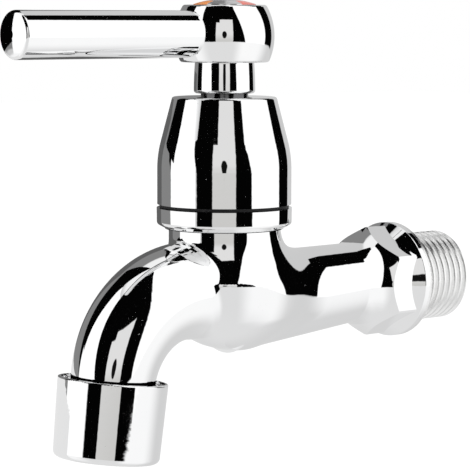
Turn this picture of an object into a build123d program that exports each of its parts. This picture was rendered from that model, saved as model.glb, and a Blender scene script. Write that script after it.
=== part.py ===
from build123d import *
from math import acos, asin, cos, radians, sin, sqrt, tan
import os

# Quarter-turn lever bib tap. Millimetres, +Z up, +Y into the wall, spout towards -Y.
# The origin is the centre of the flange's face that meets the wall, on the inlet axis.

# Inlet: a G 1/2 male thread, drawn as rings at the true pitch
thread_radius = 10.4775
thread_pitch = 1.814
thread_depth = 1.05
thread_flank_angle = 27.5
thread_root = 0.15
thread_turns = 7
inlet_end_chamfer = 1.0
shank_length = 1.902
inlet_bore_radius = 6.6

# Wall flange and hexagon
stem_to_wall = 52.5
flange_margin = 0.75
flange_thickness = 2.2
flange_edge_round = 0.3
flange_cone_angle = 44
hex_across_flats = 22.4
hex_corner_cut = 0.18265
hex_length = 6.5
flare_radius = 10.2

# Pipe from the hexagon to the valve chamber
pipe_wall_radius = 9.35
pipe_chamber_step = 1.95
pipe_chamber_drop = 1.85

# Valve chamber and the collar at its top
chamber_outer_radius = 12.9
belly_bulge = 2.8
belly_rise = 4.0
belly_neck_round = 6.0
collar_ring_proud = 0.15
collar_ring_taper = 0.05
collar_ring_round = 0.8
collar_ring_height = 3.55
collar_ring_slope = 1.1
body_top = 19.85
body_thread_length = 8.0
upper_chamber_radius = 9.9
seat_face = 4.0
seat_thickness = 2.5
lower_chamber_radius = 7.4
lower_chamber_wall = 1.1
duct_radius = 5.0
duct_drop = 3.6
inlet_bore_stop = 12.5

# Spout: an arc from the chamber to a slightly tilted outlet
spout_bend_radius = 20.0
spout_bend_start = 11.3
spout_axis_rise = 2.0
spout_tilt = 6.74
spout_root_step = 2.1
spout_end_radius = 9.15
spout_bore_radius = 6.9
spout_stations = 5
body_blend = 5.0
passage_overlap = 0.1
passage_window_width = 11.0
passage_window_height = 4.6
housing_ring_section = 1.4
housing_ring_cover = 0.3

# Outlet thread under the collar, also drawn as rings
outlet_thread_radius = 10.35
outlet_thread_pitch = 1.0
outlet_thread_depth = 0.45
outlet_thread_turns = 7
outlet_thread_start = 1.7
outlet_end_land = 0.6

# Outlet collar with its washer, screens and straightener
outlet_collar_wall = 1.3
outlet_collar_taper = 0.45
outlet_collar_edge_round = 1.3
outlet_collar_top_round = 0.3
outlet_lip_wall = 0.75
outlet_lip_depth = 1.3
outlet_mouth_ledge = 2.25
outlet_floor = 1.4
outlet_thread_clearance = 0.3
insert_clearance = 0.3
seat_gap = 0.3
washer_thickness = 1.6
washer_width = 2.6
screen_thickness = 0.4
screen_gap = 0.5
screen_count = 2
screen_hole = 1.9
screen_pitch = 2.5
screen_rim = 1.2
straightener_height = 3.06
straightener_hole = 1.7
straightener_pitch = 2.2
straightener_rim = 2.2
mesh_reach = 8

# Shroud and the black ring in its seam
seam_height = 0.8
seam_ring_inset = 0.5
seam_ring_width = 1.9
seam_ring_round = 0.25
shroud_radius = 14.9
shroud_straight = 10.85
shroud_top_radius = 11.55
shroud_cone_height = 12.9
shroud_wall = 1.5
shroud_top_wall = 1.7
shroud_top_slope = 0.3
shroud_edge_round = 0.6
shroud_shoulder_round = 24.0
shroud_neck_clearance = 0.95
shroud_boss_below = 2.5
shroud_boss_above = 3.5

# Cartridge housing
thread_clearance = 0.05
housing_flange_gap = 0.4
housing_flange_height = 4.2
housing_barrel_radius = 9.5
housing_barrel_rise = 1.0
housing_neck_radius = 5.25
housing_neck_gap = 2.4
housing_shoulder = 3.0
sleeve_clearance = 1.2
sleeve_wall = 0.9
sleeve_seat_gap = 0.5
window_width = 9.0
window_height = 2.7
window_margin = 0.3
lug_slot_width = 2.6

# Ceramic discs and seals
seal_height = 1.6
seal_width = 2.6
seal_inset = 0.3
seat_bore_margin = 0.2
fixed_disc_height = 3.0
moving_disc_height = 2.8
disc_clearance = 0.1
disc_film = 0.05
port_inner_radius = 1.8
port_margin = 2.1
port_angle = 76
cut_out_angle = 84
lug_width = 2.4
lug_reach = 0.8
drive_slot_width = 2.6
drive_slot_depth = 1.4
drive_clearance = 0.1
drive_length = 11.0

# Spindle and what rides on it
spindle_radius = 4.0
spindle_clearance = 0.08
spindle_shoulder_width = 2.6
spindle_shoulder_height = 2.6
spindle_top_drop = 0.4
spline_step = 0.1
spline_depth = 0.4
spline_width = 0.6
spline_count = 20
spline_below_bush = 0.8
tapped_hole_depth = 11.0
o_ring_section = 1.1
o_ring_groove_play = 0.3
o_ring_heights = (27.0, 31.0)
circlip_thickness = 0.8
circlip_reach = 1.0
circlip_groove_depth = 0.6
circlip_gap = 3.0
circlip_film = 0.05
friction_washer_thickness = 0.8
friction_washer_play = 0.1

# Handle
hub_low_radius = 9.75
hub_mid_radius = 11.0
hub_top_radius = 9.15
hub_height = 12.6
hub_mid_rise = 6.3
hub_edge_round = 0.8
skirt_wall = 0.95
skirt_taper = 0.3
skirt_length = 6.85
skirt_gap = 0.75
skirt_edge_round = 0.7
skirt_clearance = 0.6
recess_wall = 2.15
recess_depth = 4.2
hub_web = 1.8
bush_wall = 1.35
bush_depth = 6.25
bush_clearance = 0.05
bush_key_width = 2.0
bush_key_depth = 0.7
lever_radius = 5.12
lever_rise = 6.2
lever_reach = 57.0
lever_crown = 0.5
lever_end_round = 0.8
stud_radius = 2.5
stud_in_hub = 3.3
stud_in_lever = 8.0
stud_clearance = 0.05
screw_radius = 2.0
screw_length = 9.0
screw_head_radius = 3.6
screw_head_height = 1.8
screw_head_round = 0.9
screw_hole_clearance = 0.3
screw_slot_width = 1.0
screw_slot_length = 4.2
screw_slot_depth = 0.9
index_rim_rise = 0.15
index_ring_clearance = 0.1
index_cap_radius = 4.1
index_dome_rise = 1.3
index_cap_thickness = 1.6
index_ledge_width = 0.7

stem_axis = Axis((0, -stem_to_wall, 0), (0, 0, 1))
hair = 0.01
os.makedirs("parts", exist_ok=True)


def finish(builder, name):
    """Label a finished piece and write it under its node's name."""
    builder.part.label = name
    export_step(builder.part, "parts/" + name + ".step")


def at_stem(height):
    """Level plane on the stem axis at a height above the inlet axis."""
    return Plane.XY.offset(height).move(Location((0, -stem_to_wall, 0)))


def circles_at(builder, radius, height):
    """Level round edges of a radius at a height."""
    rounds = builder.edges().filter_by(GeomType.CIRCLE)
    rounds = rounds.filter_by(lambda rim: abs(rim.radius - radius) < hair)
    return rounds.filter_by(lambda rim: abs(rim.center().Z - height) < hair)


stem_side = Plane(origin=(0, -stem_to_wall, 0), x_dir=(0, 1, 0), z_dir=(1, 0, 0))

# Radii and heights that follow from the sizes above
inlet_length = shank_length + thread_turns * thread_pitch + inlet_end_chamfer
hex_turned_radius = hex_across_flats / 2 / cos(radians(30)) - hex_corner_cut
flange_radius = hex_turned_radius + flange_margin
pipe_chamber_radius = chamber_outer_radius - pipe_chamber_step
spout_root_radius = chamber_outer_radius - spout_root_step
belly_radius = chamber_outer_radius + belly_bulge
belly_neck_height = sqrt((belly_radius + belly_neck_round) ** 2 - (chamber_outer_radius + belly_neck_round) ** 2)
belly_neck_turn = asin(belly_neck_height / (belly_radius + belly_neck_round))
lower_chamber_floor = sqrt((belly_radius - lower_chamber_wall) ** 2 - lower_chamber_radius ** 2) - belly_rise
collar_ring_radius = shroud_radius + collar_ring_proud
collar_ring_low_radius = collar_ring_radius - collar_ring_taper
collar_ring_bottom = body_top - collar_ring_height
collar_ring_under = collar_ring_bottom - collar_ring_slope
seam_outer = shroud_radius - seam_ring_inset
housing_flange_corner = seam_outer - seam_ring_width - housing_flange_gap
o_ring_pocket = housing_flange_corner - housing_ring_cover
body_thread_radius = o_ring_pocket - housing_ring_section
sleeve_radius = upper_chamber_radius - sleeve_clearance
sleeve_bore = sleeve_radius - sleeve_wall
disc_radius = sleeve_bore - disc_clearance
seal_radius = disc_radius - seal_inset
seat_bore_radius = seal_radius - seal_width - seat_bore_margin
port_outer_radius = disc_radius - port_margin
passage_start = upper_chamber_radius - passage_overlap
shroud_bottom = body_top + seam_height
shroud_shoulder = shroud_bottom + shroud_straight
shroud_top = shroud_shoulder + shroud_cone_height
shroud_boss_bottom = shroud_shoulder - shroud_boss_below
shroud_boss_top = shroud_shoulder + shroud_boss_above
shroud_neck_hole = housing_neck_radius + shroud_neck_clearance
skirt_bottom = shroud_top + skirt_gap
hub_bottom = skirt_bottom + skirt_length
hub_mid = hub_bottom + hub_mid_rise
hub_top = hub_bottom + hub_height
lever_height = hub_bottom + lever_rise
bush_bottom = skirt_bottom + bush_depth
housing_neck_top = bush_bottom - housing_neck_gap

# Places of the inlet, the hexagon's flare and the spout's bend
cone_slope = tan(radians(flange_cone_angle))
flare_turn = acos(1 - (hex_turned_radius - pipe_wall_radius) / flare_radius)
hex_front = -flange_thickness - hex_length
flare_start = hex_front - flare_radius * sin(flare_turn)
thread_groove = 2 * thread_depth * tan(radians(thread_flank_angle)) + thread_root
spout_sweep = 90 - spout_tilt
bend_centre_y = -stem_to_wall - spout_bend_start
bend_centre_z = spout_axis_rise - spout_bend_radius


def spout_point(angle):
    """Point of the spout's centre line at an angle from the top of its bend."""
    reach = spout_bend_radius * sin(radians(angle))
    rise = spout_bend_radius * cos(radians(angle))
    return (0, bend_centre_y - reach, bend_centre_z + rise)


def spout_section(angle):
    """Plane square to the spout's centre line at that angle."""
    heading = (0, -cos(radians(angle)), -sin(radians(angle)))
    return Plane(origin=spout_point(angle), x_dir=(1, 0, 0), z_dir=heading)


outlet = spout_section(spout_sweep)
outlet_side = Plane(origin=outlet.origin, x_dir=(1, 0, 0), z_dir=Vector(1, 0, 0).cross(outlet.z_dir))
outlet_axis = Axis(outlet.origin, outlet.z_dir)
outlet_groove = 2 * outlet_thread_depth * tan(radians(thread_flank_angle)) + thread_root
outlet_end = outlet_thread_start + outlet_thread_turns * outlet_thread_pitch + outlet_end_land
body_thread_bottom = body_top - body_thread_length
neck_bend_top = belly_rise + belly_neck_height


def ring_grooves(start, radius, pitch, groove, root, depth, turns):
    """Outline points of a row of V grooves, one each pitch, along a crest radius."""
    points = []
    for turn in range(turns):
        near = start + turn * pitch + (pitch - groove) / 2
        points += [
            (near, radius),
            (near + (groove - root) / 2, radius - depth),
            (near + (groove + root) / 2, radius - depth),
            (near + groove, radius),
        ]
    return points


def neck_bend(angle):
    """Point of the hollow between the chamber's neck and its belly, that far round from the neck."""
    out = chamber_outer_radius + belly_neck_round * (1 - cos(angle))
    return (out, neck_bend_top - belly_neck_round * sin(angle))


# Body casting: everything outside first, then the waterway
with BuildPart() as tap_body:
    with BuildSketch(Plane.YZ):
        with BuildLine():
            Polyline((flare_start, pipe_wall_radius), (flare_start, 0), (-flange_thickness, 0),
                     (-flange_thickness, hex_turned_radius), (hex_front, hex_turned_radius))
            RadiusArc((flare_start, pipe_wall_radius), (hex_front, hex_turned_radius), -flare_radius)
        make_face()
    revolve(axis=Axis.Y)
    with BuildSketch(Plane.XZ.offset(flange_thickness)):
        RegularPolygon(hex_across_flats / 2, 6, major_radius=False, rotation=30)
    extrude(amount=-flare_start - flange_thickness, mode=Mode.INTERSECT)

    cone_front = -flange_thickness - (flange_radius - thread_radius) / cone_slope
    with BuildSketch(Plane.YZ):
        with BuildLine():
            Polyline(
                (cone_front, 0), (cone_front, thread_radius), (-flange_thickness, flange_radius),
                (0, flange_radius), (0, thread_radius),
                *ring_grooves(shank_length, thread_radius, thread_pitch, thread_groove,
                              thread_root, thread_depth, thread_turns),
                (inlet_length - inlet_end_chamfer, thread_radius),
                (inlet_length, thread_radius - inlet_end_chamfer),
                (inlet_length, 0), (cone_front, 0))
        make_face()
    revolve(axis=Axis.Y)

    with BuildSketch(Plane(origin=(0, flare_start, 0), x_dir=(1, 0, 0), z_dir=(0, 1, 0))):
        Circle(pipe_wall_radius)
    with BuildSketch(Plane(origin=(0, -stem_to_wall, -pipe_chamber_drop), x_dir=(1, 0, 0), z_dir=(0, 1, 0))):
        Circle(pipe_chamber_radius)
    loft()

    with BuildSketch(spout_section(0).offset(-spout_bend_start / 2)):
        Circle(spout_root_radius)
    for station in range(spout_stations):
        share = station / (spout_stations - 1)
        with BuildSketch(spout_section(share * spout_sweep)):
            Circle(spout_root_radius + share * (spout_end_radius - spout_root_radius))
    loft()

    with BuildSketch(stem_side):
        with BuildLine():
            Line((0, belly_rise - belly_radius), (0, body_top))
            Polyline((0, body_top), (collar_ring_radius, body_top),
                     (collar_ring_low_radius, collar_ring_bottom),
                     (chamber_outer_radius, collar_ring_under), (chamber_outer_radius, neck_bend_top))
            ThreePointArc((chamber_outer_radius, neck_bend_top), neck_bend(belly_neck_turn / 2),
                          neck_bend(belly_neck_turn))
            ThreePointArc(neck_bend(belly_neck_turn), (belly_radius, belly_rise), (0, belly_rise - belly_radius))
        make_face()
    revolve(axis=stem_axis)

    blends = tap_body.edges().filter_by(GeomType.BSPLINE)
    blends = blends.filter_by_position(Axis.Y, bend_centre_y - body_blend, flare_start - inlet_bore_stop)
    fillet(blends, radius=body_blend)
    flange_rims = tap_body.edges().filter_by(GeomType.CIRCLE)
    flange_rims = flange_rims.filter_by(lambda rim: abs(rim.radius - flange_radius) < hair)
    fillet(flange_rims, radius=flange_edge_round)
    fillet(circles_at(tap_body, collar_ring_low_radius, collar_ring_bottom), radius=collar_ring_round)

    # Spout end with its thread rings
    with BuildSketch(outlet_side):
        with BuildLine():
            Polyline(
                (0, 0), (spout_end_radius, 0), (spout_end_radius, outlet_thread_start),
                (outlet_thread_radius, outlet_thread_start),
                *[(radius, along) for along, radius in ring_grooves(
                    outlet_thread_start, outlet_thread_radius, outlet_thread_pitch, outlet_groove,
                    thread_root, outlet_thread_depth, outlet_thread_turns)],
                (outlet_thread_radius, outlet_end), (0, outlet_end), (0, 0))
        make_face()
    revolve(axis=outlet_axis)

    # Outlet passage: from the upper chamber's front, round the bend and out
    passage = spout_section(0).offset(passage_start - spout_bend_start)
    with BuildLine():
        Line(passage.origin, spout_point(0))
        ThreePointArc(spout_point(0), spout_point(spout_sweep / 2), spout_point(spout_sweep))
        Line(spout_point(spout_sweep), outlet.offset(outlet_end).origin)
    with BuildSketch(passage):
        Circle(spout_bore_radius)
    sweep(mode=Mode.SUBTRACT)
    with BuildSketch(at_stem(seat_face)):
        with Locations((0, -passage_start / 2)):
            Rectangle(passage_window_width, passage_start + hair)
    extrude(amount=passage_window_height, mode=Mode.SUBTRACT)

    # Upper chamber with the cartridge's thread, seat and lower chamber
    with BuildSketch(stem_side):
        with BuildLine():
            Polyline(
                (0, -lower_chamber_floor), (lower_chamber_radius, -lower_chamber_floor),
                (lower_chamber_radius, seat_face - seat_thickness),
                (seat_bore_radius, seat_face - seat_thickness), (seat_bore_radius, seat_face),
                (upper_chamber_radius, seat_face), (upper_chamber_radius, body_thread_bottom),
                (body_thread_radius, body_thread_bottom), (body_thread_radius, body_top - housing_ring_section),
                (o_ring_pocket, body_top - housing_ring_section), (o_ring_pocket, body_top),
                (0, body_top), (0, -lower_chamber_floor))
        make_face()
    revolve(axis=stem_axis, mode=Mode.SUBTRACT)

    # Inlet bore, and the duct that dips under the seat
    with BuildSketch(Plane.XZ.offset(-inlet_length)):
        Circle(inlet_bore_radius)
    extrude(amount=inlet_length + stem_to_wall - inlet_bore_stop, mode=Mode.SUBTRACT)
    with BuildSketch(Plane.XZ.offset(stem_to_wall - inlet_bore_stop - duct_radius)):
        with Locations((0, -duct_drop)):
            Circle(duct_radius)
    extrude(amount=inlet_bore_stop + duct_radius, mode=Mode.SUBTRACT)
finish(tap_body, "tap_body")

# Black ring in the seam between the body and the shroud
with BuildPart() as shroud_seal_ring:
    with BuildSketch(stem_side):
        with Locations((seam_outer - seam_ring_width / 2, body_top + seam_height / 2)):
            RectangleRounded(seam_ring_width, seam_height, seam_ring_round)
    revolve(axis=stem_axis)
finish(shroud_seal_ring, "shroud_seal_ring")


# Shroud: a cylinder running into a cone, with a threaded boss inside
shroud_inner = shroud_radius - shroud_wall
shroud_fall = (shroud_radius - shroud_top_radius) / (shroud_top - shroud_shoulder)
boss_bore = housing_barrel_radius + thread_clearance
shroud_ceiling = shroud_top - shroud_top_wall
with BuildPart() as shroud:
    with BuildSketch(stem_side):
        with BuildLine():
            Polyline((shroud_inner, shroud_bottom), (shroud_radius, shroud_bottom),
                     (shroud_radius, shroud_shoulder), (shroud_top_radius, shroud_top),
                     (shroud_neck_hole, shroud_top - shroud_top_slope))
            Polyline(
                (shroud_neck_hole, shroud_top - shroud_top_slope), (shroud_neck_hole, shroud_ceiling),
                (shroud_inner - (shroud_ceiling - shroud_shoulder) * shroud_fall, shroud_ceiling),
                (shroud_inner - (shroud_boss_top - shroud_shoulder) * shroud_fall, shroud_boss_top),
                (boss_bore, shroud_boss_top), (boss_bore, shroud_boss_bottom),
                (shroud_inner, shroud_boss_bottom), (shroud_inner, shroud_bottom))
        make_face()
    revolve(axis=stem_axis)
    fillet(circles_at(shroud, shroud_radius, shroud_shoulder), radius=shroud_shoulder_round)
    fillet(circles_at(shroud, shroud_top_radius, shroud_top), radius=shroud_edge_round)
finish(shroud, "shroud")


# Stack heights inside the chamber, from the seat upwards
fixed_disc_bottom = seat_face + seal_height
moving_disc_bottom = fixed_disc_bottom + fixed_disc_height + disc_film
shoulder_bottom = moving_disc_bottom + moving_disc_height + disc_film
washer_bottom = shoulder_bottom + spindle_shoulder_height
housing_ceiling = washer_bottom + friction_washer_thickness + friction_washer_play
spindle_bore = spindle_radius + spindle_clearance
spindle_shoulder_radius = spindle_radius + spindle_shoulder_width
housing_barrel_top = shroud_boss_top + housing_barrel_rise

# Cartridge housing: threaded plug with a hexagon, a barrel, a slim neck and a ported sleeve
with BuildPart() as cartridge_housing:
    with BuildSketch(stem_side):
        with BuildLine():
            Polyline(
                (sleeve_bore, seat_face + sleeve_seat_gap), (sleeve_radius, seat_face + sleeve_seat_gap),
                (sleeve_radius, body_thread_bottom + thread_clearance),
                (body_thread_radius - thread_clearance, body_thread_bottom + thread_clearance),
                (body_thread_radius - thread_clearance, body_top), (housing_barrel_radius, body_top),
                (housing_barrel_radius, housing_barrel_top - housing_shoulder),
                (housing_neck_radius + housing_shoulder / 2, housing_barrel_top),
                (housing_neck_radius, housing_barrel_top + housing_shoulder / 2),
                (housing_neck_radius, housing_neck_top), (spindle_bore, housing_neck_top),
                (spindle_bore, housing_ceiling), (sleeve_bore, housing_ceiling),
                (sleeve_bore, seat_face + sleeve_seat_gap))
        make_face()
    revolve(axis=stem_axis)
    with BuildSketch(at_stem(body_top)):
        RegularPolygon(housing_flange_corner, 6)
        Circle(housing_barrel_radius - hair, mode=Mode.SUBTRACT)
    extrude(amount=housing_flange_height)
    with BuildSketch(at_stem(moving_disc_bottom + window_margin)):
        Rectangle(window_width, 4 * sleeve_radius)
        Circle(sleeve_bore - hair, mode=Mode.SUBTRACT)
    extrude(amount=window_height, mode=Mode.SUBTRACT)
    with BuildSketch(at_stem(seat_face + sleeve_seat_gap)):
        Rectangle(4 * sleeve_radius, lug_slot_width)
        Circle(sleeve_bore - hair, mode=Mode.SUBTRACT)
    extrude(amount=fixed_disc_bottom + fixed_disc_height - seat_face - sleeve_seat_gap, mode=Mode.SUBTRACT)
finish(cartridge_housing, "cartridge_housing")


def stem_ring(name, centre_radius, height, section):
    """O-ring round the stem axis, as it sits when the tap is put together."""
    with BuildPart() as ring:
        with BuildSketch(stem_side):
            with Locations((centre_radius, height)):
                Circle(section / 2)
        revolve(axis=stem_axis)
    finish(ring, name)


stem_ring("housing_o_ring", body_thread_radius + housing_ring_section / 2,
          body_top - housing_ring_section / 2, housing_ring_section - hair)

# Seat seal below the fixed disc
with BuildPart() as seat_seal:
    with BuildSketch(at_stem(seat_face)):
        Circle(seal_radius)
        Circle(seal_radius - seal_width, mode=Mode.SUBTRACT)
    extrude(amount=seal_height)
finish(seat_seal, "seat_seal")


def opposite_sectors(inner, outer, angle, start):
    """Two opposite ring sectors round the stem, centred on a start angle."""
    for turn in (0, 180):
        with BuildLine() as outline:
            from_angle = start + turn - angle / 2
            CenterArc((0, 0), outer, from_angle, angle)
            CenterArc((0, 0), inner, from_angle, angle)
            for side in (from_angle, from_angle + angle):
                Line((inner * cos(radians(side)), inner * sin(radians(side))),
                     (outer * cos(radians(side)), outer * sin(radians(side))))
        make_face(outline.edges(), mode=Mode.SUBTRACT)


# Ceramic discs: the ports lie in line with the spout, and the moving disc's solid halves cover them
with BuildPart() as fixed_disc:
    with BuildSketch(at_stem(fixed_disc_bottom)):
        Circle(disc_radius)
        Rectangle(2 * (disc_radius + lug_reach), lug_width)
        opposite_sectors(port_inner_radius, port_outer_radius, port_angle, 90)
    extrude(amount=fixed_disc_height)
finish(fixed_disc, "fixed_disc")

with BuildPart() as moving_disc:
    with BuildSketch(at_stem(moving_disc_bottom)):
        Circle(disc_radius)
        opposite_sectors(port_inner_radius, disc_radius + disc_clearance, cut_out_angle, 0)
    extrude(amount=moving_disc_height)
    with BuildSketch(at_stem(moving_disc_bottom + moving_disc_height)):
        Rectangle(drive_slot_width, 2 * sleeve_bore)
    extrude(amount=-drive_slot_depth, mode=Mode.SUBTRACT)
finish(moving_disc, "moving_disc")

# Spindle: drive bar, shoulder, ring grooves, circlip groove and splined end
recess_floor = hub_top - recess_depth
bush_top = recess_floor - hub_web
spindle_top = bush_top - spindle_top_drop
spline_bottom = bush_bottom - spline_below_bush
spline_radius = spindle_radius - spline_step
circlip_radius = spindle_radius + circlip_reach
circlip_bottom = housing_neck_top + circlip_film
groove_floor = spindle_radius - o_ring_section
groove_half = (o_ring_section + o_ring_groove_play) / 2
with BuildPart() as spindle:
    with BuildSketch(at_stem(shoulder_bottom)):
        Circle(spindle_shoulder_radius)
    extrude(amount=spindle_shoulder_height)
    with BuildSketch(at_stem(shoulder_bottom)):
        Circle(spindle_radius)
    extrude(amount=spline_bottom - shoulder_bottom)
    with BuildSketch(at_stem(shoulder_bottom)):
        Rectangle(drive_slot_width - 2 * drive_clearance, drive_length)
    extrude(amount=-drive_slot_depth - disc_film + drive_clearance)
    with BuildSketch(at_stem(spline_bottom)):
        Circle(spline_radius)
        with PolarLocations(spline_radius, spline_count):
            Rectangle(2 * spline_depth, spline_width, mode=Mode.SUBTRACT)
    extrude(amount=spindle_top - spline_bottom)
    for height in o_ring_heights:
        with BuildSketch(at_stem(height - groove_half)):
            Circle(spindle_radius + hair)
            Circle(groove_floor, mode=Mode.SUBTRACT)
        extrude(amount=2 * groove_half, mode=Mode.SUBTRACT)
    with BuildSketch(at_stem(circlip_bottom)):
        Circle(spindle_radius + hair)
        Circle(spindle_radius - circlip_groove_depth, mode=Mode.SUBTRACT)
    extrude(amount=circlip_thickness, mode=Mode.SUBTRACT)
    with BuildSketch(at_stem(spindle_top)):
        Circle(screw_radius + stud_clearance)
    extrude(amount=-tapped_hole_depth, mode=Mode.SUBTRACT)
finish(spindle, "spindle")

with BuildPart() as spindle_o_rings:
    with BuildSketch(stem_side):
        with Locations(*[(spindle_radius - o_ring_section / 2, height) for height in o_ring_heights]):
            Circle(o_ring_section / 2)
    revolve(axis=stem_axis)
finish(spindle_o_rings, "spindle_o_rings")

with BuildPart() as spindle_circlip:
    with BuildSketch(at_stem(circlip_bottom)):
        Circle(circlip_radius)
        Circle(spindle_radius - circlip_groove_depth, mode=Mode.SUBTRACT)
        with Locations((0, circlip_radius)):
            Rectangle(circlip_gap, 2 * circlip_radius, mode=Mode.SUBTRACT)
    extrude(amount=circlip_thickness)
finish(spindle_circlip, "spindle_circlip")

with BuildPart() as friction_washer:
    with BuildSketch(at_stem(washer_bottom)):
        Circle(spindle_shoulder_radius)
        Circle(spindle_radius + spindle_clearance, mode=Mode.SUBTRACT)
    extrude(amount=friction_washer_thickness)
finish(friction_washer, "friction_washer")


# Handle hub, its lever and what joins them
recess_radius = hub_top_radius - recess_wall
bush_radius = spline_radius + bush_wall
bush_bore = bush_radius + bush_clearance
skirt_bore = housing_neck_radius + skirt_clearance
skirt_radius = skirt_bore + skirt_wall
skirt_top = hub_bottom + hub_edge_round


def hub_face():
    """Barrel outline of the hub, from the stem axis out."""
    with BuildLine() as outline:
        Line((0, hub_bottom), (hub_low_radius, hub_bottom))
        ThreePointArc((hub_low_radius, hub_bottom), (hub_mid_radius, hub_mid), (hub_top_radius, hub_top))
        Polyline((hub_top_radius, hub_top), (0, hub_top), (0, hub_bottom))
    make_face(outline.edges())


with BuildPart() as handle_hub:
    with BuildSketch(stem_side):
        hub_face()
    revolve(axis=stem_axis)
    hub_rims = handle_hub.edges().filter_by(GeomType.CIRCLE)
    fillet(hub_rims, radius=hub_edge_round)
    with BuildSketch(stem_side):
        with BuildLine():
            ThreePointArc((skirt_radius, skirt_bottom),
                          (skirt_radius - skirt_taper / 4, (skirt_bottom + skirt_top) / 2),
                          (skirt_radius - skirt_taper, skirt_top))
            Polyline((skirt_radius - skirt_taper, skirt_top), (0, skirt_top), (0, skirt_bottom),
                     (skirt_radius, skirt_bottom))
        make_face()
    revolve(axis=stem_axis)
    fillet(handle_hub.edges().group_by(Axis.Z)[0], radius=skirt_edge_round)
    with BuildSketch(at_stem(skirt_bottom)):
        Circle(skirt_bore)
    extrude(amount=bush_bottom - skirt_bottom, mode=Mode.SUBTRACT)
    with BuildSketch(at_stem(bush_bottom)):
        Circle(bush_bore)
        Rectangle(2 * (bush_bore + bush_key_depth), bush_key_width + 2 * bush_clearance)
    extrude(amount=bush_top - bush_bottom, mode=Mode.SUBTRACT)
    with BuildSketch(at_stem(recess_floor)):
        Circle(recess_radius)
    extrude(amount=recess_depth, mode=Mode.SUBTRACT)
    with BuildSketch(at_stem(recess_floor)):
        Circle(screw_radius + screw_hole_clearance)
    extrude(amount=-hub_web, mode=Mode.SUBTRACT)
    with BuildSketch(Plane.XZ.offset(stem_to_wall + hub_mid_radius - stud_in_hub)):
        with Locations((0, lever_height)):
            Circle(stud_radius + stud_clearance)
    extrude(amount=2 * stud_in_hub, mode=Mode.SUBTRACT)
finish(handle_hub, "handle_hub")

lever_start = stud_in_hub - hub_low_radius - stem_to_wall
lever_end = -stem_to_wall - lever_reach
lever_rim = lever_end + lever_crown
crown_radius = (lever_radius ** 2 + lever_crown ** 2) / (2 * lever_crown)
crown_turn = asin(lever_radius / crown_radius) / 2
lever_crown_middle = (lever_end + crown_radius * (1 - cos(crown_turn)), lever_height + crown_radius * sin(crown_turn))
with BuildPart() as lever_rod:
    with BuildSketch(Plane.YZ):
        with BuildLine():
            Polyline((lever_end, lever_height), (lever_start, lever_height),
                     (lever_start, lever_height + lever_radius), (lever_rim, lever_height + lever_radius))
            ThreePointArc((lever_rim, lever_height + lever_radius), lever_crown_middle, (lever_end, lever_height))
        make_face()
    revolve(axis=Axis((0, 0, lever_height), (0, 1, 0)))
    crown_rims = lever_rod.edges().filter_by(GeomType.CIRCLE)
    crown_rims = crown_rims.filter_by(lambda rim: abs(rim.center().Y - lever_rim) < hair)
    fillet(crown_rims, radius=lever_end_round)
    with BuildSketch(stem_side):
        hub_face()
    revolve(axis=stem_axis, mode=Mode.SUBTRACT)
    with BuildSketch(Plane.XZ.offset(stem_to_wall)):
        with Locations((0, lever_height)):
            Circle(stud_radius + stud_clearance)
    extrude(amount=hub_mid_radius + stud_in_lever, mode=Mode.SUBTRACT)
finish(lever_rod, "lever_rod")

with BuildPart() as lever_stud:
    with BuildSketch(Plane.XZ.offset(stem_to_wall + hub_mid_radius - stud_in_hub)):
        with Locations((0, lever_height)):
            Circle(stud_radius)
    extrude(amount=stud_in_hub + stud_in_lever)
finish(lever_stud, "lever_stud")

with BuildPart() as spline_bush:
    with BuildSketch(at_stem(bush_bottom)):
        Circle(bush_radius)
        Rectangle(2 * (bush_radius + bush_key_depth), bush_key_width)
        Circle(spline_radius + bush_clearance, mode=Mode.SUBTRACT)
        with PolarLocations(spline_radius, spline_count):
            Rectangle(2 * (spline_depth - bush_clearance), spline_width - 2 * bush_clearance)
    extrude(amount=bush_top - bush_bottom)
finish(spline_bush, "spline_bush")

with BuildPart() as handle_screw:
    with BuildSketch(at_stem(recess_floor)):
        Circle(screw_head_radius)
    extrude(amount=screw_head_height)
    fillet(handle_screw.edges().group_by(Axis.Z)[-1], radius=screw_head_round)
    with BuildSketch(at_stem(recess_floor + screw_head_height)):
        Rectangle(screw_slot_length, screw_slot_width)
        Rectangle(screw_slot_width, screw_slot_length)
    extrude(amount=-screw_slot_depth, mode=Mode.SUBTRACT)
    with BuildSketch(at_stem(recess_floor)):
        Circle(screw_radius)
    extrude(amount=-screw_length)
finish(handle_screw, "handle_screw")

# Index ring on the recess floor, and the bare cap in its ledge
ring_outer = recess_radius - index_ring_clearance
cap_top = hub_top + index_dome_rise
cap_bottom = cap_top - index_cap_thickness
dome_height = index_dome_rise - index_rim_rise
index_dome_radius = (ring_outer ** 2 + dome_height ** 2) / (2 * dome_height)
with BuildPart() as index_ring:
    with BuildSketch(at_stem(recess_floor)):
        Circle(ring_outer)
        Circle(index_cap_radius - index_ledge_width + index_ring_clearance, mode=Mode.SUBTRACT)
    extrude(amount=cap_top - recess_floor)
    with Locations((0, -stem_to_wall, cap_top - index_dome_radius)):
        Sphere(index_dome_radius, mode=Mode.INTERSECT)
    with BuildSketch(at_stem(cap_top)):
        Circle(index_cap_radius + index_ring_clearance)
    extrude(amount=-index_cap_thickness, mode=Mode.SUBTRACT)
    with BuildSketch(at_stem(recess_floor)):
        Circle(screw_head_radius + screw_hole_clearance)
    extrude(amount=screw_head_height + screw_hole_clearance, mode=Mode.SUBTRACT)
finish(index_ring, "index_ring")

with BuildPart() as index_cap:
    with BuildSketch(at_stem(cap_bottom)):
        Circle(index_cap_radius)
    extrude(amount=index_cap_thickness)
    with Locations((0, -stem_to_wall, cap_top - index_dome_radius)):
        Sphere(index_dome_radius, mode=Mode.INTERSECT)
finish(index_cap, "index_cap")


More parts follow.
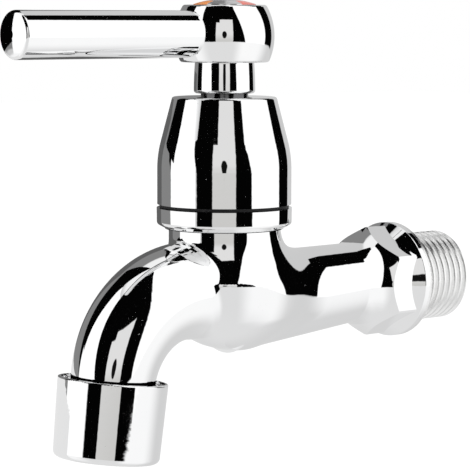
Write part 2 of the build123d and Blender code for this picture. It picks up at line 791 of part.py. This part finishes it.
# Outlet collar and its stack: washer on the spout's end, screens, straightener
collar_bore = outlet_thread_radius + outlet_thread_clearance
insert_radius = collar_bore - insert_clearance
washer_top = outlet_end + seat_gap
screens_top = washer_top + washer_thickness
screens_height = screen_count * screen_thickness + (screen_count - 1) * screen_gap
straightener_top = screens_top + screens_height
straightener_bottom = straightener_top + straightener_height
outlet_collar_length = straightener_bottom + seat_gap + outlet_floor
outlet_collar_top_radius = collar_bore + outlet_collar_wall
outlet_collar_low_radius = outlet_collar_top_radius - outlet_collar_taper
outlet_mouth_radius = collar_bore - outlet_mouth_ledge
with BuildPart() as outlet_collar:
    with BuildSketch(outlet_side):
        with BuildLine():
            Polyline(
                (outlet_collar_top_radius - outlet_lip_wall, 0), (outlet_collar_top_radius, 0),
                (outlet_collar_low_radius, outlet_collar_length), (outlet_mouth_radius, outlet_collar_length),
                (outlet_mouth_radius, outlet_collar_length - outlet_floor),
                (collar_bore, outlet_collar_length - outlet_floor), (collar_bore, outlet_lip_depth),
                (outlet_collar_top_radius - outlet_lip_wall, outlet_lip_depth),
                (outlet_collar_top_radius - outlet_lip_wall, 0))
        make_face()
    revolve(axis=outlet_axis)
    low_rim = outlet_collar.edges().filter_by(GeomType.CIRCLE)
    low_rim = low_rim.filter_by(lambda rim: abs(rim.radius - outlet_collar_low_radius) < hair)
    fillet(low_rim, radius=outlet_collar_edge_round)
    top_rim = outlet_collar.edges().filter_by(GeomType.CIRCLE)
    top_rim = top_rim.filter_by(lambda rim: abs(rim.radius - outlet_collar_top_radius) < hair)
    fillet(top_rim, radius=outlet_collar_top_round)
finish(outlet_collar, "outlet_collar")

with BuildPart() as collar_washer:
    with BuildSketch(outlet.offset(washer_top)):
        Circle(insert_radius)
        Circle(insert_radius - washer_width, mode=Mode.SUBTRACT)
    extrude(amount=washer_thickness)
finish(collar_washer, "collar_washer")


def mesh_holes(pitch, size, reach):
    """Square holes on a square grid, those that lie inside a reach."""
    with GridLocations(pitch, pitch, mesh_reach, mesh_reach) as grid:
        inside = [spot for spot in grid.local_locations if spot.position.length + size / 2 < reach]
    with Locations(*inside):
        Rectangle(size, size, mode=Mode.SUBTRACT)


with BuildPart() as outlet_screens:
    for layer in range(screen_count):
        with BuildSketch(outlet.offset(screens_top + layer * (screen_thickness + screen_gap))):
            Circle(insert_radius)
            mesh_holes(screen_pitch, screen_hole, insert_radius - screen_rim)
        extrude(amount=screen_thickness)
finish(outlet_screens, "outlet_screens")

with BuildPart() as flow_straightener:
    with BuildSketch(outlet.offset(straightener_top)):
        Circle(insert_radius)
        mesh_holes(straightener_pitch, straightener_hole, insert_radius - straightener_rim)
    extrude(amount=straightener_bottom - straightener_top)
finish(flow_straightener, "flow_straightener")
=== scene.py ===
from math import cos, radians, sin

import bpy
import numpy as np
from mathutils import Matrix, Vector


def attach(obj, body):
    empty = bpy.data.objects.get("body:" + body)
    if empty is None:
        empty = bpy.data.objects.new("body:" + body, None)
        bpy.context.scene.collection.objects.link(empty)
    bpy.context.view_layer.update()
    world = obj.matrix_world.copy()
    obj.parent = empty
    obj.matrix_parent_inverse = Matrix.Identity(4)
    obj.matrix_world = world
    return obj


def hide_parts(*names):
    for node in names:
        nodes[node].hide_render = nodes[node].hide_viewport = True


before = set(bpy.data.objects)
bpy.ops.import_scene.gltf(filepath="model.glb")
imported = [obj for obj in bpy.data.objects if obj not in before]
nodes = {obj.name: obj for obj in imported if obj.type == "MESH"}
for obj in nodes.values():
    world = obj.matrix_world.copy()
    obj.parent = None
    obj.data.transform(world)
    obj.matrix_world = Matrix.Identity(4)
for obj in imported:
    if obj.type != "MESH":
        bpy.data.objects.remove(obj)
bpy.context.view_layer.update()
scene = bpy.context.scene
scene.view_settings.view_transform = "Standard"

# The valve stem's place along the inlet axis, in millimetres and in metres
stem_y = -52.5
stem_line = stem_y / 1000

# Camera, fitted to the photograph: its angles about the stem, then lengths in metres
turn, tilt, roll = radians(49.52), radians(5.65), radians(0.14)
distance = 0.4966
aim_x, aim_y = -0.002433, -0.013552
stem = Vector((0, stem_line, 0))
back = Vector((sin(turn) * cos(tilt), -cos(turn) * cos(tilt), sin(tilt)))
level = Vector((cos(turn), sin(turn), 0))
upright = back.cross(level)
right = cos(roll) * level + sin(roll) * upright
up = cos(roll) * upright - sin(roll) * level
lens = bpy.data.cameras.new("camera")
lens.lens = 170.4
lens.sensor_width = 36
lens.clip_start = 0.01
camera = bpy.data.objects.new("camera", lens)
place = stem + distance * back - aim_x * right - aim_y * up
camera.matrix_world = Matrix((
    (right.x, up.x, back.x, place.x),
    (right.y, up.y, back.y, place.y),
    (right.z, up.z, back.z, place.z),
    (0, 0, 0, 1)))
scene.collection.objects.link(camera)
scene.camera = camera


class Net:
    """Builds a node tree. A value is a number, a tuple or another node's output."""

    def __init__(self, tree):
        self.tree = tree
        self.tree.nodes.clear()

    def node(self, kind, inputs=None, **settings):
        made = self.tree.nodes.new("ShaderNode" + kind)
        for name, value in settings.items():
            setattr(made, name, value)
        for name, value in (inputs or {}).items():
            self.plug(made.inputs[name], value)
        return made

    def plug(self, socket, value):
        if isinstance(value, bpy.types.NodeSocket):
            self.tree.links.new(value, socket)
        elif socket.type == "RGBA":
            socket.default_value = (*value, 1)
        else:
            socket.default_value = value

    def math(self, operation, *values, clamp=False):
        made = self.node("Math", operation=operation, use_clamp=clamp)
        for socket, value in zip(made.inputs, values):
            self.plug(socket, value)
        return made.outputs[0]

    def length(self, first, second):
        """The length of a line that runs first one way and second across it."""
        squares = [self.math("POWER", value, 2.0) for value in (first, second)]
        return self.math("SQRT", self.math("ADD", *squares))

    def step(self, value, low, high):
        """0 where value is under low, 1 where it is over high, smooth between."""
        made = self.node("MapRange", {"Value": value, "From Min": low, "From Max": high},
                         interpolation_type="SMOOTHSTEP")
        return made.outputs[0]

    def span(self, value, low, high, soft):
        """1 where value is between low and high, with soft edges."""
        rise = self.step(value, low - soft / 2, low + soft / 2)
        fall = self.step(value, high - soft / 2, high + soft / 2)
        return self.math("SUBTRACT", rise, fall, clamp=True)

    def blend(self, factor, first, second):
        """Mixes two colours. Sockets 6, 7 and 2 are the ones that a Mix node keeps for colours."""
        made = self.node("Mix", data_type="RGBA")
        self.plug(made.inputs[0], factor)
        self.plug(made.inputs[6], first)
        self.plug(made.inputs[7], second)
        return made.outputs[2]

    def scaled(self, value, low, high):
        """Turns a 0 to 1 value into one from low to high."""
        made = self.node("MapRange", {"Value": value, "To Min": low, "To Max": high})
        return made.outputs[0]

    def noise(self, vector, scale, detail, roughness=0.5):
        made = self.node("TexNoise", {
            "Vector": vector, "Scale": scale, "Detail": detail, "Roughness": roughness})
        return made.outputs["Fac"]


def grey(value):
    return (value, value, value)


# Studio: cards of light and shade that the chrome shows, set out by direction in degrees.
# Round is the turn from the camera's side, to the right as seen by it, and high is the height.
world = bpy.data.worlds.new("studio")
scene.world = world
world.use_nodes = True
sky = Net(world.node_tree)
direction = sky.node("TexCoord").outputs["Generated"]
turned = sky.node("VectorRotate", {"Vector": direction, "Angle": -turn}, rotation_type="Z_AXIS").outputs[0]
axes = sky.node("SeparateXYZ", {"Vector": turned}).outputs
facing = sky.math("MULTIPLY", axes[1], -1.0)
round_about = sky.math("DEGREES", sky.math("ARCTAN2", axes[0], facing))
high = sky.math("DEGREES", sky.math("ARCSINE", axes[2]))


def card(under, tone, left, right_side, low, top, soft=1.4, lean=0.0):
    """Lays a card over what is there, from left to right and from low to top.
    Lean is the turn to the left for each degree of height."""
    place_round = sky.math("ADD", round_about, sky.math("MULTIPLY", high, lean))
    across = sky.span(place_round, left, right_side, soft)
    upward = sky.span(high, low, top, soft)
    return sky.blend(sky.math("MULTIPLY", across, upward), under, tone)


bright = grey(1.12)
ceiling = grey(0.95)
wall = grey(0.62)
shade = grey(0.24)
black = grey(0.001)
studio = sky.blend(sky.step(high, 58, 66), wall, ceiling)
studio = card(studio, shade, -190, -112, -7.8, 61, soft=3)
studio = card(studio, shade, -116, -104, -7.8, 4)
studio = card(studio, black, -107.6, -60, -3.5, 42, lean=0.9)
studio = card(studio, bright, -104, -50, -11, 59)
studio = card(studio, bright, 0, 109, -11, 100)
studio = card(studio, black, -128, -104, 38, 60)
studio = card(studio, black, 108, 139, -9, 40)
studio = card(studio, black, 108, 148, 30, 80)
studio = card(studio, black, -49.5, 46.5, -11, 89, lean=0.33)

# The pale panel in the middle, narrower at its top, with a dark round spot
spot_high = 3.0
spot_half_width = 5.2
spot_half_height = 6.5
spot_edge = (1.12, 0.88)
panel_tone = sky.blend(sky.step(high, -9, 6), (0.62, 0.615, 0.60), (0.79, 0.785, 0.78))
studio = card(studio, panel_tone, -12, 20, 23, 31)
studio = card(studio, panel_tone, -20, 20, -11, 25)
spot_across = sky.math("DIVIDE", round_about, spot_half_width)
spot_up = sky.math("DIVIDE", sky.math("SUBTRACT", high, spot_high), spot_half_height)
in_spot = sky.step(sky.length(spot_across, spot_up), *spot_edge)
studio = sky.blend(in_spot, studio, grey(0.006))

# The pale table below the horizon
horizon = (-10.6, -9.6)
table_left = sky.blend(sky.step(round_about, -135, -98), grey(0.72), grey(0.99))
table_front = sky.blend(sky.step(round_about, -72, -35), table_left, grey(0.77))
table_right = sky.blend(sky.step(round_about, 18, 48), table_front, grey(1.02))
table_back = sky.blend(sky.step(round_about, 85, 130), table_right, grey(0.68))
table = sky.blend(sky.step(high, -30, -75), table_back, grey(0.78))
studio = sky.blend(sky.step(high, *horizon), table, studio)

rays = sky.node("LightPath").outputs
colour = sky.blend(rays["Is Glossy Ray"], grey(1.0), studio)
background = sky.node("Background", {"Color": colour, "Strength": 1.0})
sky.node("OutputWorld", {"Surface": background.outputs[0]})

# A wide soft lamp overhead for the shade on the floor
lamp = bpy.data.lights.new("soft_lamp", "SUN")
lamp.energy = 0.5
lamp.angle = radians(40)
lamp_object = bpy.data.objects.new("soft_lamp", lamp)
lamp_object.rotation_euler = (radians(20), radians(15), 0)
lamp_object.visible_glossy = False
scene.collection.objects.link(lamp_object)

# Floor: plain and pale, seen by the camera; the chrome shows the table of the studio instead
floor_reach = 3.0
floor_height = -0.1
floor_mesh = bpy.data.meshes.new("floor")
floor_corners = [(x * floor_reach, y * floor_reach, floor_height)
                 for x, y in ((-1, -1), (1, -1), (1, 1), (-1, 1))]
floor_mesh.from_pydata(floor_corners, [], [(0, 1, 2, 3)])
floor = bpy.data.objects.new("floor", floor_mesh)
scene.collection.objects.link(floor)
floor.visible_glossy = False
floor_paint = bpy.data.materials.new("floor")
floor_paint.use_nodes = True
net = Net(floor_paint.node_tree)
shader = net.node("BsdfDiffuse", {"Color": grey(0.93)})
net.node("OutputMaterial", {"Surface": shader.outputs[0]})
floor_mesh.materials.append(floor_paint)


def reflector(name, tone, across, away, height):
    """A plain card that only reflections see, between two opposite corners. Across is metres to
    the right of the stem as the camera sees it, and away is metres behind the stem."""
    away_from_camera = Vector((-sin(turn), cos(turn), 0))
    mesh = bpy.data.meshes.new(name)
    corners = []
    for near_or_far, side in ((0, 0), (0, 1), (1, 1), (1, 0)):
        flat_place = stem + across[side] * level + away[near_or_far] * away_from_camera
        corners.append(tuple(flat_place + Vector((0, 0, height[near_or_far]))))
    mesh.from_pydata(corners, [], [(0, 1, 2, 3)])
    paint = bpy.data.materials.new(name)
    paint.use_nodes = True
    net = Net(paint.node_tree)
    shader = net.node("Emission", {"Color": grey(tone), "Strength": 1.0})
    net.node("OutputMaterial", {"Surface": shader.outputs[0]})
    mesh.materials.append(paint)
    made = bpy.data.objects.new(name, mesh)
    scene.collection.objects.link(made)
    made.visible_camera = False
    made.visible_diffuse = False
    made.visible_shadow = False


# A pale sheet below and behind the spout's end, and two dark cards behind the lever
reflector("low_sheet", 0.82, (-0.034, -0.3), (-0.03, 0.3), (-0.036, -0.036))
reflector("lever_card", 0.12, (-0.015, -0.062), (0.045, 0.045), (-0.012, 0.05))
reflector("end_card", 0.001, (-0.044, -0.28), (0.02, 0.02), (0.040, 0.25))


# Materials, in metres on each piece's own coordinates
def finish_of(slot):
    """The node's own material, emptied, with its coordinates."""
    material = bpy.data.materials[slot]
    material.use_nodes = True
    net = Net(material.node_tree)
    return net, net.node("TexCoord").outputs["Object"]


def settle(net, shader):
    net.node("OutputMaterial", {"Surface": shader.outputs[0]})


# Chrome: bright plate with faint orange peel, tiny specks and hand smudges,
# satin on the wall thread, and bare brass in the inlet's bore
thread_start = (-0.0012, -0.0008)
bore_start = (-0.03, -0.02)
bore_edge = (0.0078, 0.0074)
net, where = finish_of("chrome")
along = net.node("SeparateXYZ", {"Vector": where}).outputs
thread = net.step(along[1], *thread_start)
in_bore = net.step(net.length(along[0], along[2]), *bore_edge)
bore = net.math("MULTIPLY", in_bore, net.step(along[1], *bore_start))
broad = net.noise(where, 55, 3)
peel = net.noise(where, 700, 1)
specks = net.noise(where, 3800, 2)
tone = net.blend(broad, (0.9, 0.905, 0.915), (0.95, 0.95, 0.948))
smudge = net.scaled(net.step(net.noise(where, 130, 4, 0.65), 0.45, 0.75), 0.015, 0.045)
dust = net.step(net.noise(where, 2600, 2), 0.73, 0.79)
smudge = net.math("ADD", smudge, net.math("MULTIPLY", dust, 0.4))
lump = net.node("Bump", {"Height": peel, "Distance": 0.0000045, "Strength": 1.0})
grain = net.node("Bump", {
    "Height": specks, "Distance": 0.0000004, "Strength": 1.0, "Normal": lump.outputs[0]})
satin = net.noise(where, 900, 3)
tone = net.blend(thread, tone, net.blend(satin, (0.82, 0.82, 0.82), (0.95, 0.95, 0.945)))
tone = net.blend(bore, tone, net.blend(satin, (0.62, 0.42, 0.19), (0.74, 0.55, 0.29)))
rough = net.math("ADD", smudge, net.math("MULTIPLY", thread, net.scaled(satin, 0.16, 0.3)))
shader = net.node("BsdfPrincipled", {
    "Base Color": tone, "Metallic": 1.0, "Roughness": rough, "Normal": grain.outputs[0]})
settle(net, shader)

# Brass: turned and a little dull, plated on the housing's neck above the gland, where it is painted near
# black as painted shade for the dark groove under the skirt
plating_start = (0.0404, 0.0408)
spindle_edge = (0.0047, 0.0049)
net, where = finish_of("brass")
along = net.node("SeparateXYZ", {"Vector": where}).outputs
from_stem = net.length(along[0], net.math("SUBTRACT", along[1], stem_line))
above_gland = net.step(along[2], *plating_start)
# Mask of the plated neck: it carries the plating's gloss and the painted shade of the groove
plated_with_painted_shade = net.math("MULTIPLY", above_gland, net.step(from_stem, *spindle_edge))
stain = net.step(net.noise(where, 180, 4, 0.6), 0.4, 0.7)
tone = net.blend(stain, (0.78, 0.57, 0.27), (0.62, 0.41, 0.18))
# Painted shade: the plated neck's tone is near black, in place of the groove's darkness, with the stain
# noise across it
tone = net.blend(plated_with_painted_shade, tone, net.blend(stain, (0.15, 0.15, 0.155), (0.09, 0.088, 0.085)))
turned_rings = net.node("TexWave", {
    "Vector": where, "Scale": 900.0, "Distortion": 1.5, "Detail": 2.0},
    wave_type="BANDS", bands_direction="Z")
cut = net.node("Bump", {
    "Height": turned_rings.outputs["Fac"], "Distance": 0.000003, "Strength": 1.0})
rough = net.math("SUBTRACT", net.scaled(stain, 0.2, 0.36), net.math("MULTIPLY", plated_with_painted_shade, 0.14))
shader = net.node("BsdfPrincipled", {
    "Base Color": tone, "Metallic": 1.0, "Roughness": rough, "Normal": cut.outputs[0]})
settle(net, shader)

# Steel: drawn and passivated, with fine streaks
net, where = finish_of("steel")
streak_place = net.node("Mapping", {"Vector": where, "Scale": (1, 1, 14)}).outputs[0]
streaks = net.noise(streak_place, 700, 3)
tone = net.blend(net.noise(where, 240, 3), (0.5, 0.51, 0.52), (0.66, 0.66, 0.65))
drawn = net.node("Bump", {"Height": streaks, "Distance": 0.000004, "Strength": 1.0})
shader = net.node("BsdfPrincipled", {
    "Base Color": tone, "Metallic": 1.0, "Roughness": net.scaled(streaks, 0.2, 0.42),
    "Normal": drawn.outputs[0]})
settle(net, shader)

# Rubber: near black, dull, with a moulded grain and pale dust in places
net, where = finish_of("black_rubber")
grain_height = net.noise(where, 5200, 3)
dust = net.step(net.noise(where, 420, 4, 0.65), 0.55, 0.75)
tone = net.blend(dust, (0.012, 0.012, 0.013), (0.04, 0.039, 0.037))
moulded = net.node("Bump", {"Height": grain_height, "Distance": 0.00001, "Strength": 1.0})
shader = net.node("BsdfPrincipled", {
    "Base Color": tone, "Roughness": net.scaled(dust, 0.42, 0.68), "Normal": moulded.outputs[0],
    "Specular IOR Level": 0.2})
settle(net, shader)

# Ceramic: lapped alumina, cream white with fine grey specks
net, where = finish_of("ceramic")
fleck = net.step(net.noise(where, 2400, 3), 0.62, 0.7)
tone = net.blend(net.noise(where, 160, 3), (0.80, 0.78, 0.72), (0.86, 0.85, 0.81))
tone = net.blend(fleck, tone, (0.55, 0.54, 0.52))
lapped = net.node("Bump", {
    "Height": net.noise(where, 6000, 2), "Distance": 0.000002, "Strength": 1.0})
shader = net.node("BsdfPrincipled", {
    "Base Color": tone, "Roughness": net.scaled(fleck, 0.14, 0.4), "Normal": lapped.outputs[0]})
settle(net, shader)

# White plastic: acetal, faintly translucent, with a fine spark finish and lime in places
net, where = finish_of("white_plastic")
lime = net.step(net.noise(where, 300, 5, 0.7), 0.56, 0.74)
tone = net.blend(lime, (0.78, 0.79, 0.78), (0.66, 0.63, 0.56))
spark = net.node("Bump", {
    "Height": net.noise(where, 3600, 3), "Distance": 0.000012, "Strength": 1.0})
shader = net.node("BsdfPrincipled", {
    "Base Color": tone, "Roughness": net.scaled(lime, 0.36, 0.6), "Normal": spark.outputs[0],
    "Subsurface Weight": 0.15, "Subsurface Radius": (1.0, 1.0, 1.0), "Subsurface Scale": 0.001})
settle(net, shader)

# The index ring's first half and its two bare gaps, in degrees round the stem from the spout
index_half = (-130, 50)
index_gaps = ((16, 83), (-164, -97))


def index_finish(slot, first, second, other=None):
    """Glossy moulded plastic of the index, with worn patches and fine scratches.
    With another colour the ring is half the one and half the other, with bare metal between."""
    net, where = finish_of(slot)
    wear = net.step(net.noise(where, 340, 4, 0.6), 0.45, 0.7)
    bare = 0.0
    scratch_place = net.node("Mapping", {
        "Vector": where, "Rotation": (0.0, 0.0, 0.6), "Scale": (1, 22, 1)}).outputs[0]
    scratches = net.step(net.noise(scratch_place, 260, 2), 0.62, 0.72)
    tone = net.blend(wear, first, second)
    if other:
        along = net.node("SeparateXYZ", {"Vector": where}).outputs
        ahead = net.math("MULTIPLY", net.math("ADD", along[1], -stem_line), -1.0)
        bearing = net.math("DEGREES", net.math("ARCTAN2", along[0], ahead))
        half = net.span(bearing, *index_half, soft=2)
        tone = net.blend(half, tone, other)
        bare = net.math("ADD", *[net.span(bearing, *gap, soft=5) for gap in index_gaps])
        tone = net.blend(bare, tone, (0.8, 0.8, 0.81))
    scored = net.node("Bump", {"Height": scratches, "Distance": 0.000003, "Strength": -1.0})
    shader = net.node("BsdfPrincipled", {
        "Base Color": tone, "Roughness": net.scaled(wear, 0.12, 0.26), "Normal": scored.outputs[0],
        "Metallic": bare, "Specular IOR Level": 0.35, "Coat Weight": 0.2, "Coat Roughness": 0.06})
    settle(net, shader)


index_finish("index_red", (0.80, 0.10, 0.05), (0.70, 0.075, 0.04), (0.95, 0.30, 0.03))
index_finish("index_grey", (0.34, 0.34, 0.35), (0.27, 0.27, 0.28))

# Body skin: neck, belly, spout and pipe as one smooth cast form, in millimetres.
# The neck's tilt, in degrees, is given at heights from the ridge up, and is even below them.
# A blend or a width is how far two forms run into one another.
neck_radius = 12.35
flare_heights = (3.9, 7.5, 10.2, 12.9)
flare_tilts = (33, 24, 15.5, 0)
flare_floor = -20
flare_steps = 330
belly_radius = 15.5
belly_height = 5.2
belly_depth = 16.9
ridge_width = 0.12
valley_width = 3.0
valley_reach = (-4, 8)
bend_start = 11.3
bend_radius = 20.0
spout_rise = 2.0
spout_sweep = radians(83.26)
root_radius = 10.8
outlet_radius = 9.15
spout_blend = 1.2
pipe_start = stem_y + 6
pipe_radius = 10.95
pipe_drop = 1.85
pipe_end_y = -16.3
pipe_end_radius = 9.35
pipe_blend_above = 10.0
pipe_blend_below = 3.0
pipe_blend_depths = (4, 11)

# The skin's grid, its lap over what it meets, and the flat ring at its top
skin_lap = 0.3
skin_low = (-18, -97, -24)
skin_high = (18, pipe_end_y + skin_lap, 15.6)
skin_cell = 0.45
ring_under = 15.2
ring_inner = neck_radius - skin_lap
ring_outer = 13.2
ring_segments = 96


def soft_min(first, second, width):
    near = np.maximum(width - np.abs(first - second), 0) / width
    return np.minimum(first, second) - near * near * width / 4


def eased(values, low, high):
    share = np.clip((values - low) / (high - low), 0, 1)
    return share * share * (3 - 2 * share)


def outlet_distance(points):
    """How far past the spout's end, along its axis."""
    end_y = stem_y - bend_start - bend_radius * sin(spout_sweep)
    end_z = spout_rise - bend_radius + bend_radius * cos(spout_sweep)
    return (points[:, 1] - end_y) * -cos(spout_sweep) + (points[:, 2] - end_z) * -sin(spout_sweep)


def spout_field(points):
    """The tapering spout, straight from the stem and then bent down."""
    x, y, z = points.T
    ahead = stem_y - bend_start - y
    over = z - spout_rise + bend_radius
    turned_by = np.clip(np.arctan2(ahead, over), 0, spout_sweep)
    turned_by = np.where(ahead < 0, 0, np.where(over < 0, spout_sweep, turned_by))
    off_y = y - (stem_y - bend_start - bend_radius * np.sin(turned_by))
    off_z = z - (spout_rise - bend_radius + bend_radius * np.cos(turned_by))
    across = off_y * np.sin(turned_by) - off_z * np.cos(turned_by)
    behind = np.maximum(y - stem_y, 0)
    radius = root_radius + (outlet_radius - root_radius) * turned_by / spout_sweep
    return np.sqrt(x ** 2 + across ** 2 + behind ** 2) - radius


def pipe_field(points):
    """The pipe to the wall, wider and lower towards the stem."""
    x, y, z = points.T
    share = (y - stem_y) / (pipe_end_y - stem_y)
    radius = pipe_radius + (pipe_end_radius - pipe_radius) * np.clip(share, 0, 1)
    drop = pipe_drop * (1 - np.clip(share, 0, 1))
    behind = np.maximum(pipe_start - y, 0)
    return np.sqrt(x ** 2 + (z + drop) ** 2 + behind ** 2) - radius


flare_levels = np.linspace(flare_heights[-1], flare_floor, flare_steps)
flare_slopes = np.tan(np.radians(np.interp(flare_levels, flare_heights, flare_tilts)))
flare_growth = np.cumsum(flare_slopes) * (flare_levels[0] - flare_levels[1])


def stem_field(points):
    """The neck, which flares to a ridge, and the rounded belly under the ridge.
    Towards the pipe the ridge fades out."""
    x, y, z = points.T
    out = np.hypot(x, y - stem_y)
    growth = np.interp(-z, -flare_levels, flare_growth)
    slope = np.interp(-z, -flare_levels, flare_slopes)
    flare = (out - neck_radius - growth) / np.sqrt(1 + slope ** 2)
    under = np.minimum(z - belly_height, 0)
    size = np.sqrt((out / belly_radius) ** 2 + (under / belly_depth) ** 2)
    steep = np.sqrt((out / belly_radius ** 2) ** 2 + (under / belly_depth ** 2) ** 2) + 1e-9
    belly = size * (size - 1) / steep
    width = ridge_width + (valley_width - ridge_width) * eased(y - stem_y, *valley_reach)
    return -soft_min(-flare, -belly, width)


def body_field(points):
    """About the distance to the skin, less than 0 inside."""
    fade = eased(-points[:, 2], *pipe_blend_depths)
    pipe_blend = pipe_blend_above + (pipe_blend_below - pipe_blend_above) * fade
    stem_and_pipe = soft_min(stem_field(points), pipe_field(points), pipe_blend)
    return soft_min(stem_and_pipe, spout_field(points), spout_blend)


def gradient(points, step=0.02):
    sides = []
    for axis in np.eye(3) * step:
        sides.append((body_field(points + axis) - body_field(points - axis)) / (2 * step))
    return np.stack(sides, 1)


def skin_of(low, high, cell, pulls=5):
    """Quads through a grid of cells where the field changes sign, drawn onto the skin itself."""
    lines = [np.arange(a, b + cell, cell) for a, b in zip(low, high)]
    grid = np.stack(np.meshgrid(*lines, indexing="ij"), -1)
    values = body_field(grid.reshape(-1, 3)).reshape(grid.shape[:3])
    inside = values < 0
    cells = np.array(grid.shape[:3]) - 1
    total = np.zeros((*cells, 3))
    count = np.zeros(cells)
    crossings = []
    for axis in range(3):
        here = tuple(slice(None, -1) if n == axis else slice(None) for n in range(3))
        there = tuple(slice(1, None) if n == axis else slice(None) for n in range(3))
        crossed = inside[here] != inside[there]
        at = np.argwhere(crossed)
        where = at.astype(float)
        where[:, axis] += values[here][crossed] / (values[here][crossed] - values[there][crossed])
        second, third = (axis + 1) % 3, (axis + 2) % 3
        corners = []
        for back_second, back_third in ((0, 0), (1, 0), (1, 1), (0, 1)):
            corner = at.copy()
            corner[:, second] -= back_second
            corner[:, third] -= back_third
            real = np.all((corner >= 0) & (corner < cells), axis=1)
            np.add.at(total, tuple(corner[real].T), where[real])
            np.add.at(count, tuple(corner[real].T), 1)
            corners.append(corner)
        whole = np.all([np.all((corner >= 0) & (corner < cells), axis=1) for corner in corners], axis=0)
        crossings.append((np.stack(corners, 1)[whole], inside[here][crossed][whole]))
    numbers = np.full(cells, -1)
    numbers[count > 0] = np.arange((count > 0).sum())
    points = np.array(low) + cell * total[count > 0] / count[count > 0][:, None]
    quads = []
    for corners, starts_inside in crossings:
        quad = numbers[tuple(np.moveaxis(corners, -1, 0))]
        quad[~starts_inside] = quad[~starts_inside][:, ::-1]
        quads.append(quad)
    for _ in range(pulls):
        slope = gradient(points)
        points -= slope * (body_field(points) / np.maximum((slope ** 2).sum(1), 1e-6))[:, None]
    return points, np.concatenate(quads)


points, quads = skin_of(skin_low, skin_high, skin_cell)
quads = quads[outlet_distance(points[quads].mean(1)) < skin_lap]
slope = gradient(points)
normals = slope / np.linalg.norm(slope, axis=1)[:, None]

# A flat ring between the neck and the collar ring's underside
round_stem = np.arange(ring_segments) * 2 * np.pi / ring_segments
for radius in (ring_inner, ring_outer):
    points = np.append(points, np.stack([
        radius * np.cos(round_stem), stem_y + radius * np.sin(round_stem),
        np.full(ring_segments, ring_under)], 1), 0)
normals = np.append(normals, np.tile((0, 0, -1), (2 * ring_segments, 1)), 0)
inner = len(points) - 2 * ring_segments + np.arange(ring_segments)
onward = np.roll(inner, -1)
ring_quads = np.stack([inner, onward, onward + ring_segments, inner + ring_segments], 1)
quads = np.append(quads, ring_quads, 0)

mesh = bpy.data.meshes.new("body_skin")
mesh.from_pydata((points / 1000).tolist(), [], quads.tolist())
mesh.polygons.foreach_set("use_smooth", [True] * len(quads))
mesh.normals_split_custom_set_from_vertices(normals.tolist())
mesh.materials.append(bpy.data.materials["chrome"])
body_skin = bpy.data.objects.new("body_skin", mesh)
scene.collection.objects.link(body_skin)


def copied(name, source, keep):
    """A new piece of the source's faces where keep is true, with the source's normals."""
    old = source.data
    picked = np.flatnonzero(keep)
    faces = [tuple(old.polygons[int(i)].vertices) for i in picked]
    loops = [loop for i in picked for loop in old.polygons[int(i)].loop_indices]
    used = sorted({v for face in faces for v in face})
    place_of = {v: n for n, v in enumerate(used)}
    corners = [tuple(old.vertices[v].co) for v in used]
    mesh = bpy.data.meshes.new(name)
    mesh.from_pydata(corners, [], [tuple(place_of[v] for v in face) for face in faces])
    mesh.polygons.foreach_set("use_smooth", [True] * len(faces))
    mesh.normals_split_custom_set([tuple(old.corner_normals[loop].vector) for loop in loops])
    mesh.materials.append(old.materials[0])
    made = bpy.data.objects.new(name, mesh)
    scene.collection.objects.link(made)
    return made


# The rest of the body: wall end, waterway, collar ring and outlet thread, as the solids have them.
# A face is covered where the skin reaches, if it lies near the skin and looks outward as it does.
margin = 0.02
deepest = -4.5
least_agreement = 0.2
body = nodes["tap_body"]
corner_points = np.array([v.co for v in body.data.vertices]) * 1000
in_reach = corner_points[:, 1] < pipe_end_y + margin
in_reach &= corner_points[:, 2] < ring_under + margin
in_reach &= outlet_distance(corner_points) < margin
faces = body.data.polygons
centres = np.array([face.center for face in faces]) * 1000
outward = np.array([face.normal for face in faces])
covered = np.array([all(in_reach[v] for v in face.vertices) for face in faces])
covered &= body_field(centres) > deepest
covered &= (gradient(centres) * outward).sum(1) > least_agreement
body_rest = copied("body_rest", body, ~covered)
for piece in (body_skin, body_rest):
    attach(piece, "root")
    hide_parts("tap_body")
